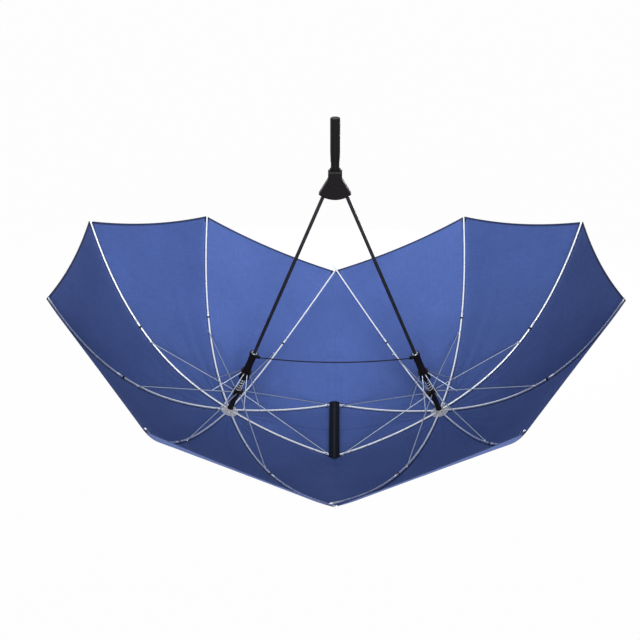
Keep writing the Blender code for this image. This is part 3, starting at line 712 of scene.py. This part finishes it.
PATCH_HALF_WIDTH = 0.0080
RIB_SEAM_SHADOW_HALF_WIDTH = 0.0042
MIDDLE_SHADOW_SHARE = 0.488
THREADS_PER_METRE = 700.0
WEAVE_SHADE = 0.70
SLUB_SHADE = 0.80
HEM_SHADE = 0.30
RIB_SEAM_SHADOW_SHADE = 0.30
MIDDLE_SHADOW_SHADE = 0.62
PATCH_SHADE = 0.10
SHADE_BLEND = 0.001
SHADE_CORE = 0.8


def cloth_on_rib(side, number, share):
    """Middle of the cloth under a rib, at a share of the way from the centre hole to the rib's tip."""
    tip = tip_of(side, number)[0] - CORNER_SETBACK
    reach = CLOTH_HOLE_RADIUS + (tip - CLOTH_HOLE_RADIUS) * share
    bow = 1 + (bow_of(side, number) - 1) * SEAM_BOW_SHARE[side]
    height = rib_height(side, number, reach) * bow / bow_of(side, number)
    rise = rib_height(side, number, reach + SLOPE_STEP) - rib_height(side, number, reach - SLOPE_STEP)
    slope = rise / (2 * SLOPE_STEP)
    normal = Vector((-slope, 1)).normalized()
    near = max(0.0, 1 - reach / CLOTH_CENTRE_REACH)
    place = Vector((reach, height))
    place -= normal * (CLOTH_DROP + (CLOTH_CENTRE_DROP - CLOTH_DROP) * near)
    return spot(side, number, place.x, place.y, lean_of(side, number, place.x))


def cloth_in_panel(side, number, across, share):
    """Middle of the cloth between a rib and the next, across from zero to one. A free rim is scalloped,
    a seam edge lies in the middle plane, and the cloth sags a little towards the shaft."""
    after = number % 8 + 1
    seam_panel = number in SEAM_PANELS
    pull = RIM_SCALLOP_SHARES.get(number, 0) * 4 * across * (1 - across)
    along = share * (1 - pull * share**2)
    here = cloth_on_rib(side, number, along)
    there = cloth_on_rib(side, after, along)
    place = here.lerp(there, across)
    up = halves[side][1]
    arch = math.sin(math.pi * across)
    place += up * SAG * arch * math.sin(math.pi * min(1.0, share * SAG_RISE)) ** 2
    waves = math.sin(math.pi * CREASES * across + number)
    waves += FINE_CREASE_SHARE * math.sin(math.pi * FINE_CREASES * across + 2 * number)
    height = CREASE * (1 - share) ** 3 if seam_panel else PUCKER * (1 - share)
    place += up * height * arch * waves * min(1.0, share * CREASE_RISE)
    sign = 1 if side == "left" else -1
    inward = Vector((sign * up.z, 0, -sign * up.x))
    past = sign * place.x
    corner = across == 0 and number in SEAM_RIBS or across == 1 and after in SEAM_RIBS
    if past > 0 or share == 1 and (seam_panel or corner):
        place -= inward * past / up.z
    return place


navy, tree, shader = principled("navy cloth", (0.093, 0.166, 0.50), 0.7)
shader.inputs["Specular IOR Level"].default_value = 0.30
where = tree.nodes.new("ShaderNodeUVMap")
where.uv_map = "cloth"


def stretched_noise(scale):
    """Slubs in the threads of one direction, from noise drawn out along them."""
    mapping = tree.nodes.new("ShaderNodeMapping")
    mapping.inputs["Scale"].default_value = scale
    made = tree.nodes.new("ShaderNodeTexNoise")
    made.inputs["Scale"].default_value = 1.0
    made.inputs["Detail"].default_value = 2.0
    tree.links.new(where.outputs["UV"], mapping.inputs["Vector"])
    tree.links.new(mapping.outputs["Vector"], made.inputs["Vector"])
    return made.outputs["Fac"]


def darken(colour, source, darkest, share):
    """Multiply a colour by a grey between darkest and white."""
    made = tree.nodes.new("ShaderNodeMix")
    made.data_type = "RGBA"
    made.blend_type = "MULTIPLY"
    made.inputs[0].default_value = share
    tree.links.new(colour, made.inputs[6])
    tree.links.new(two_tone(tree, source, (darkest,) * 3, (1.0, 1.0, 1.0)), made.inputs[7])
    return made.outputs[2]


weave = []
for direction in ("X", "Y"):
    threads = tree.nodes.new("ShaderNodeTexWave")
    threads.bands_direction = direction
    threads.inputs["Scale"].default_value = THREADS_PER_METRE * math.tau / 20
    tree.links.new(where.outputs["UV"], threads.inputs["Vector"])
    weave.append(threads.outputs["Fac"])
crossed = tree.nodes.new("ShaderNodeMath")
crossed.operation = "MULTIPLY"
for index, threads in enumerate(weave):
    tree.links.new(threads, crossed.inputs[index])
blotch = noise_spread(tree, noise(tree, 9.0, 3.0), 0.0, 1.0)
colour = two_tone(tree, blotch, (0.088, 0.157, 0.475), (0.100, 0.176, 0.530))
colour = darken(colour, crossed.outputs[0], WEAVE_SHADE, 0.5)
for scale in ((420.0, 28.0, 1.0), (28.0, 420.0, 1.0)):
    colour = darken(colour, noise_spread(tree, stretched_noise(scale), 0.0, 1.0), SLUB_SHADE, 0.7)
edge = tree.nodes.new("ShaderNodeUVMap")
edge.uv_map = "hem"
split = tree.nodes.new("ShaderNodeSeparateXYZ")
tree.links.new(edge.outputs["UV"], split.inputs[0])
hem = spread(tree, split.outputs["Y"], HEM_SHARE - SHADE_BLEND, HEM_SHARE, 1.0, 0.0)
colour = darken(colour, hem, HEM_SHADE, 1.0)


def distance_from_zero(tree, source):
    made = tree.nodes.new("ShaderNodeMath")
    made.operation = "ABSOLUTE"
    tree.links.new(source, made.inputs[0])
    return made.outputs[0]


def larger_of(first, second):
    made = tree.nodes.new("ShaderNodeMath")
    made.operation = "MAXIMUM"
    tree.links.new(first, made.inputs[0])
    tree.links.new(second, made.inputs[1])
    return made.outputs[0]


flat = tree.nodes.new("ShaderNodeSeparateXYZ")
tree.links.new(where.outputs["UV"], flat.inputs[0])
off_rib = distance_from_zero(tree, flat.outputs["X"])
# Dark band along each rib: partly the sewn seam under the rib, partly painted shadow that the rib casts on
# the cloth.
seam_and_shadow = spread(tree, off_rib, RIB_SEAM_SHADOW_HALF_WIDTH * SHADE_CORE, RIB_SEAM_SHADOW_HALF_WIDTH, 0.0, 1.0)
colour = darken(colour, seam_and_shadow, RIB_SEAM_SHADOW_SHADE, 1.0)
# Dark line down the middle of the panel between the two short ribs: painted shadow of a fold in the cloth.
off_middle = distance_from_zero(tree, split.outputs["X"])
middle = spread(tree, off_middle, MIDDLE_SHADOW_SHARE, 0.5, 1.0, 0.0)
colour = darken(colour, middle, MIDDLE_SHADOW_SHADE, 1.0)
beside = spread(tree, off_rib, PATCH_HALF_WIDTH * SHADE_CORE, PATCH_HALF_WIDTH, 0.0, 1.0)
short_of = spread(tree, split.outputs["Y"], PATCH_SHARE - SHADE_BLEND, PATCH_SHARE, 1.0, 0.0)
colour = darken(colour, larger_of(beside, short_of), PATCH_SHADE, 1.0)
tree.links.new(colour, shader.inputs["Base Color"])
stitches = tree.nodes.new("ShaderNodeMath")
stitches.operation = "ADD"
tree.links.new(crossed.outputs[0], stitches.inputs[0])
tree.links.new(hem, stitches.inputs[1])
emboss(tree, shader, stitches.outputs[0], 0.0003, 0.4)

for side in SIDES:
    for number in RIB_NUMBERS:
        before = (number - 2) % 8 + 1
        bm = bmesh.new()
        bmesh.ops.create_grid(bm, x_segments=GORE_COLUMNS, y_segments=GORE_ROWS, size=1.0)
        layer = bm.loops.layers.uv.new("cloth")
        hem_layer = bm.loops.layers.uv.new("hem")
        free = number not in SEAM_PANELS, before not in SEAM_PANELS
        places = {}
        for vert in bm.verts:
            across, share = vert.co.x / 2, round((vert.co.y + 1) / 2, 6)
            if across < 0:
                places[vert] = (across, share, cloth_in_panel(side, before, 1 + across, share))
            else:
                places[vert] = (across, share, cloth_in_panel(side, number, across, share))
        for face in bm.faces:
            for loop in face.loops:
                across, share, place = places[loop.vert]
                centre = cloth_on_rib(side, number, share)
                off = math.copysign((place - centre).length, across)
                loop[layer].uv = (off, share * tip_of(side, number)[0])
                first_half = face.calc_center_median().x < 0
                facing = number == 7 and not first_half or number == 8 and first_half
                loop[hem_layer].uv = (across if facing else 0, share if free[first_half] else 0)
        for vert, (across, share, place) in places.items():
            vert.co = place
        area = sum(face.calc_area() for face in bm.faces)
        gore = add_piece(f"gore_{side}_{number}", bm, navy, f"rib_{side}_{number}")
        thick = gore.modifiers.new("cloth thickness", "SOLIDIFY")
        thick.thickness = CLOTH_THICKNESS
        thick.offset = 0
        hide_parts(f"canopy_{side}")
        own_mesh(gore)


# Centre strap: a black webbing band over the seam, between the ends of the short ribs. It is ribbed
# across, has a painted highlight down its middle where a rounded strap would catch the light, and its ends
# are rounded.
STRAP_THICKNESS = 0.0026
STRAP_EDGE = 0.0012
STRAP_END_ROUND = 0.0045
STRAP_ROUND_START = 0.9
STRAP_ROUND_GROWTH = 10
STRAP_LONG_EDGE = 0.01
STRAP_LENGTH_CUTS = 15
STRAP_WIDTH_CUTS = 7
STRAP_HIGHLIGHT_CORE = 0.0015
STRAP_HIGHLIGHT_EDGE = 0.0035
WEBBING_SCALE = 70.0

low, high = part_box("centre_strap")
low, high = Vector(low), Vector(high)
webbing, tree, shader = principled("strap webbing", (0.010, 0.012, 0.020), 0.9)
shader.inputs["Specular IOR Level"].default_value = 0.12
where = tree.nodes.new("ShaderNodeTexCoord")
ribs = tree.nodes.new("ShaderNodeTexWave")
ribs.bands_direction = "Y"
ribs.inputs["Scale"].default_value = WEBBING_SCALE
tree.links.new(where.outputs["Object"], ribs.inputs["Vector"])
split = tree.nodes.new("ShaderNodeSeparateXYZ")
tree.links.new(where.outputs["Object"], split.inputs[0])
off_middle = distance_from_zero(tree, split.outputs["X"])
# Paler down the middle: painted highlight.
painted_highlight = spread(tree, off_middle, STRAP_HIGHLIGHT_CORE, STRAP_HIGHLIGHT_EDGE, 1.0, 0.0)
tint(tree, shader, painted_highlight, (0.007, 0.009, 0.017), (0.026, 0.030, 0.038))
emboss(tree, shader, ribs.outputs["Fac"], 0.0003)

bm = bmesh.new()
bmesh.ops.create_cube(bm, size=1.0)
size = (high.x - low.x, high.y - low.y, STRAP_THICKNESS)
bmesh.ops.scale(bm, vec=size, verts=bm.verts)
bmesh.ops.translate(bm, vec=(0, 0, (low.z + high.z) / 2), verts=bm.verts)
lengthwise = [e for e in bm.edges if abs(e.verts[0].co.y - e.verts[1].co.y) > STRAP_LONG_EDGE]
bmesh.ops.subdivide_edges(bm, edges=lengthwise, cuts=STRAP_LENGTH_CUTS, use_grid_fill=True)
bmesh.ops.bevel(bm, geom=bm.edges[:], offset=STRAP_EDGE / 4, segments=1, profile=0.5, affect="EDGES",
                material=-1)
crosswise = [e for e in bm.edges if abs(e.verts[0].co.x - e.verts[1].co.x) > STRAP_LONG_EDGE]
bmesh.ops.subdivide_edges(bm, edges=crosswise, cuts=STRAP_WIDTH_CUTS, use_grid_fill=True)
for vert in bm.verts:
    past_start = max(0.0, abs(vert.co.y) / high.y - STRAP_ROUND_START)
    bulge = STRAP_END_ROUND * past_start * STRAP_ROUND_GROWTH
    vert.co.y += math.copysign(bulge, vert.co.y) * (1 - (vert.co.x / high.x) ** 2)
strap = add_piece("seam_strap", bm, webbing, "centre_strap")
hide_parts("centre_strap")
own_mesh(strap)


# Moulded and turned parts that the frame already holds: black plastic handle parts, rings, runners
# and ferrules, black coated shafts, and off-white crowns.
black, tree, shader = principled("black moulded plastic", (0.005, 0.004, 0.005), 0.45)
shader.inputs["Specular IOR Level"].default_value = 0.14
fine = noise(tree, 420.0, 4.0)
roughen(tree, shader, fine, 0.30, 0.48)
tint(tree, shader, fine, (0.004, 0.003, 0.004), (0.008, 0.006, 0.008))
emboss(tree, shader, fine, 0.00012)

coated, tree, shader = principled("black coated steel", (0.018, 0.018, 0.022), 0.35, 0.1)
shader.inputs["Specular IOR Level"].default_value = 0.25
fine = noise(tree, 160.0, 3.0, stretch=(1.0, 1.0, 0.15))
roughen(tree, shader, fine, 0.20, 0.36)
tint(tree, shader, fine, (0.013, 0.013, 0.017), (0.024, 0.023, 0.028))

pale, tree, shader = principled("off-white moulded plastic", (0.55, 0.55, 0.58), 0.5)
fine = noise(tree, 260.0, 4.0)
roughen(tree, shader, fine, 0.34, 0.55)
tint(tree, shader, fine, (0.50, 0.50, 0.53), (0.60, 0.60, 0.63))
emboss(tree, shader, fine, 0.0002)

FINISHES = {"handle_grip": black, "handle_collar": black, "y_connector": black}
for side in SIDES:
    FINISHES.update({f"shaft_{side}": coated, f"crown_{side}": pale, f"ferrule_{side}": black})
    FINISHES.update({f"ring_{side}": black, f"runner_{side}": black})
for name, material in FINISHES.items():
    for material_slot in frame["nodes"][name].material_slots:
        material_slot.material = material
